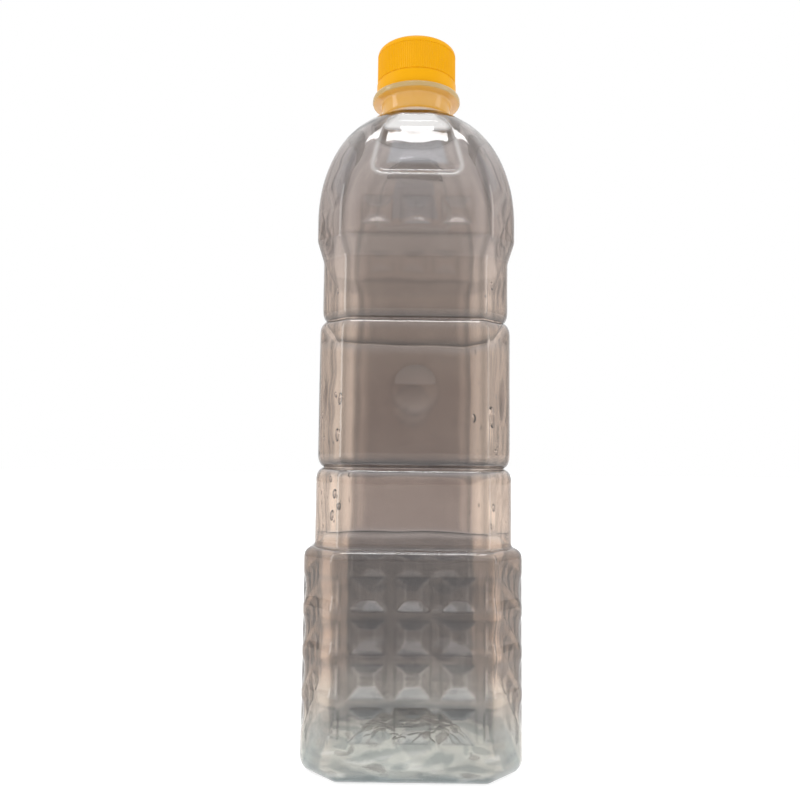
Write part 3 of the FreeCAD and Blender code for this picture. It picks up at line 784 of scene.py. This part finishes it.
# =========================================== materials ============================================
class Nodes:
    """Short way to write a node material."""

    def __init__(self, name):
        self.material = bpy.data.materials.new(name)
        self.material.use_nodes = True
        self.tree = self.material.node_tree
        self.tree.nodes.clear()
        self.output = self.add("ShaderNodeOutputMaterial")
        self.place = self.add("ShaderNodeTexCoord").outputs["Object"]

    def add(self, kind, inputs=(), **settings):
        node = self.tree.nodes.new(kind)
        for key, value in settings.items():
            setattr(node, key, value)
        for key, value in dict(inputs).items():
            if isinstance(value, bpy.types.NodeSocket):
                self.tree.links.new(value, node.inputs[key])
            else:
                node.inputs[key].default_value = value
        return node

    def surface(self, inputs):
        shader = self.add("ShaderNodeBsdfPrincipled", inputs)
        self.tree.links.new(shader.outputs["BSDF"], self.output.inputs["Surface"])

    def noise(self, scale, detail=2.0):
        inputs = {"Vector": self.place, "Scale": scale, "Detail": detail}
        return self.add("ShaderNodeTexNoise", inputs).outputs["Fac"]

    def bump(self, strength, distance, height):
        inputs = {"Strength": strength, "Distance": distance, "Height": height}
        return self.add("ShaderNodeBump", inputs).outputs["Normal"]

    def span(self, value, low, high, to_low=0.0, to_high=1.0):
        inputs = {"Value": value, "From Min": low, "From Max": high,
                  "To Min": to_low, "To Max": to_high}
        return self.add("ShaderNodeMapRange", inputs).outputs["Result"]

    def mix(self, factor, first, second):
        """A mix of two colours, whose sockets have the numbers 6 and 7, and 2 for the result."""
        inputs = {0: factor, 6: first, 7: second}
        return self.add("ShaderNodeMix", inputs, data_type="RGBA").outputs[2]


def linear(red, green, blue):
    """Colour for a node from the 0 to 255 values seen on a screen."""
    channels = [c / 255.0 for c in (red, green, blue)]
    lights = [c / 12.92 if c < 0.04045 else ((c + 0.055) / 1.055) ** 2.4 for c in channels]
    return (*lights, 1.0)


def clear_pet():
    n = Nodes("clear_pet")
    # the wall's tint, with its painted light and shade, and its clearness as alpha
    wall = n.add("ShaderNodeAttribute", attribute_name="wall_tint_and_light")
    smoke = n.span(n.noise(60.0, 3.0), *NOISE_SPAN, 0.0, 0.16)
    n.surface({"Base Color": n.mix(smoke, wall.outputs["Color"], SMOKE_TINT),
               "Roughness": n.span(n.noise(120.0), *NOISE_SPAN, 0.01, 0.035), "IOR": PET_IOR,
               "Transmission Weight": wall.outputs["Alpha"],
               "Normal": n.bump(0.12, 0.0004, n.noise(55.0))})
    absorb = n.add("ShaderNodeVolumeAbsorption", {"Color": DEPTH_TINT, "Density": DEPTH_DENSITY})
    n.tree.links.new(absorb.outputs["Volume"], n.output.inputs["Volume"])
    return n.material


def water():
    n = Nodes("water")
    n.surface({"Base Color": n.mix(n.noise(200.0), *WATER_TINTS),
               "Roughness": n.span(n.noise(400.0), *NOISE_SPAN, 0.0, 0.03), "IOR": WATER_IOR,
               "Transmission Weight": 1.0})
    return n.material


def tear_line_mesh():
    """Thin web of bridges that joins the tamper band to the cap, set back in the slit."""
    low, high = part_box("tamper_band")[1].z / MM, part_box("cap")[0].z / MM
    turns = np.linspace(0.0, 2 * math.pi, TEAR_COLUMNS, endpoint=False)
    bridges = BRIDGE_RISE * np.maximum(np.sin(BRIDGES * turns), 0.0) ** 8
    inner, outer = BAND_R - TEAR_DEPTH, BAND_R - TEAR_SETBACK + bridges
    rows = [circle(reach, turns, z)
            for reach, z in ((inner, low), (outer, low), (outer, high), (inner, high))]
    points = np.stack(rows) * MM
    index = np.arange(points[..., 0].size).reshape(points.shape[:2])
    right, up = np.roll(index, -1, axis=1), np.roll(index, -1, axis=0)
    quads = np.stack([index, right, np.roll(right, -1, axis=0), up], axis=-1).reshape(-1, 4)
    mesh = bpy.data.meshes.new("tear_line")
    mesh.from_pydata(points.reshape(-1, 3).tolist(), [], quads.tolist())
    mesh.update()
    return mesh


def golden_cap():
    n = Nodes("golden_cap")
    dull, bright = (linear(*shade) for shade in CAP_YELLOWS)
    n.surface({"Base Color": n.mix(n.span(n.noise(90.0, 4.0), *NOISE_SPAN), dull, bright),
               "Roughness": n.span(n.noise(200.0), *NOISE_SPAN, 0.34, 0.44), "IOR": CAP_IOR,
               "Specular IOR Level": 0.12, "Normal": n.bump(0.08, 0.0001, n.noise(700.0, 3.0))})
    return n.material


def pale_floor():
    """White light table: it glows a little, so that the clear base isn't lost in its own shadow."""
    n = Nodes("pale_floor")
    n.surface({"Base Color": n.mix(n.noise(3.0), *FLOOR_TONES), "Roughness": 0.8,
               "Emission Color": WHITE, "Emission Strength": FLOOR_GLOW})
    return n.material


# ======================================== stage and camera ========================================
def make_floor():
    mesh = bpy.data.meshes.new("floor")
    corners = [(x * FLOOR_SIDE, y * FLOOR_SIDE, 0.0)
               for x, y in ((-1, -1), (1, -1), (1, 1), (-1, 1))]
    mesh.from_pydata(corners, [], [(0, 1, 2, 3)])
    floor = add_object("floor", mesh, pale_floor())


def soft_box(name, place, size, radiance):
    """Rectangular studio light; radiance is how bright its face looks."""
    data = bpy.data.lights.new(name, "AREA")
    data.shape = "RECTANGLE"
    data.size, data.size_y = size
    data.energy = radiance * math.pi * size[0] * size[1]
    light = bpy.data.objects.new(name, data)
    light.location = place
    aim = Vector(LIGHT_TARGET) - Vector(place)
    light.rotation_euler = aim.to_track_quat("-Z", "Y").to_euler()
    light.visible_camera = False
    bpy.context.scene.collection.objects.link(light)


def make_lights():
    for light in LIGHTS:
        soft_box(*light)
    world = bpy.data.worlds.new("studio")
    world.use_nodes = True
    background = world.node_tree.nodes["Background"]
    background.inputs["Color"].default_value = WHITE
    background.inputs["Strength"].default_value = 1.0
    bpy.context.scene.world = world
    bpy.context.scene.view_settings.view_transform = "Standard"


def make_camera():
    data = bpy.data.cameras.new("camera")
    data.sensor_width = SENSOR_WIDTH
    data.lens = FOCAL_LENGTH
    data.clip_start = 0.01
    camera = bpy.data.objects.new("camera", data)
    turn = Matrix.Rotation(QUARTER + CAMERA_PITCH, 4, "X") @ Matrix.Rotation(CAMERA_ROLL, 4, "Z")
    camera.matrix_world = Matrix.Translation(CAMERA_PLACE) @ turn
    bpy.context.scene.collection.objects.link(camera)
    bpy.context.scene.camera = camera


make_camera()
make_floor()
make_lights()

shell_data, inner_wall = shell_mesh()
shell = add_object("bottle_shell", shell_data, clear_pet())
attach(shell, "root")
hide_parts("bottle")
drops = add_object("droplets", droplets_mesh(inner_wall), water())
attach(drops, "root")

yellow = golden_cap()
for node in ("cap", "tamper_band"):
    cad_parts[node].material_slots[0].material = yellow
tear_line = add_object("tear_line", tear_line_mesh(), yellow)
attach(tear_line, "root")
